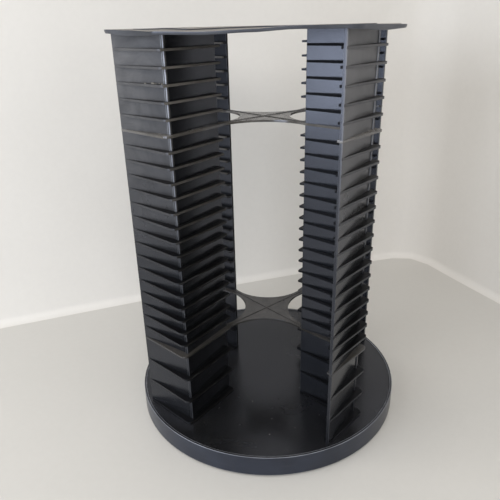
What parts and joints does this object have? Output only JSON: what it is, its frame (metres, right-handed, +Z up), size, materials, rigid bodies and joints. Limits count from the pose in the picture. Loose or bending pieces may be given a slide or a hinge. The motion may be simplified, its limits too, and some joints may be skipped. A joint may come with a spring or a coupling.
{
  "type": "rotating media tower",
  "caption": "Round turntable with shelf-finned corner columns in a pinwheel plan, cross braces between them and a thin top plate, for flat disc cases on every side.",
  "frame": {"origin": "on the table under the swivel axis, at the bottom of the rubber feet", "axes": "+Z up along the swivel axis; +X and +Y along the walls of the columns, with one column on each of +X, +Y, -X and -Y"},
  "size_m": [0.286, 0.286, 0.3949],
  "materials": {
    "column_plastic": "satin black moulded plastic",
    "plate_plastic": "satin black moulded plastic",
    "base_plastic": "semi-gloss black moulded plastic",
    "glide_plastic": "natural moulded plastic",
    "steel": "bright steel",
    "rubber": "black rubber"
  },
  "bodies": {
    "foot": {"foot_plate": "base_plastic", "glide_ring": "glide_plastic", "rubber_foot_1": "rubber", "rubber_foot_2": "rubber", "rubber_foot_3": "rubber", "rubber_foot_4": "rubber"},
    "tower": {"turntable": "base_plastic", "pivot_washer": "steel", "pivot_screw": "steel", "brace_lower": "plate_plastic", "brace_upper": "plate_plastic", "top_plate": "plate_plastic", "column_lower_right": "column_plastic", "column_lower_back": "column_plastic", "column_lower_left": "column_plastic", "column_lower_front": "column_plastic", "column_low_middle_right": "column_plastic", "column_low_middle_back": "column_plastic", "column_low_middle_left": "column_plastic", "column_low_middle_front": "column_plastic", "column_high_middle_right": "column_plastic", "column_high_middle_back": "column_plastic", "column_high_middle_left": "column_plastic", "column_high_middle_front": "column_plastic", "column_upper_right": "column_plastic", "column_upper_back": "column_plastic", "column_upper_left": "column_plastic", "column_upper_front": "column_plastic"}
  },
  "joints": [
    {"name": "swivel", "type": "hinge", "parent": "foot", "child": "tower", "pos_m": [0, 0, 0], "axis": [0, 0, 1], "continuous": true}
  ]
}
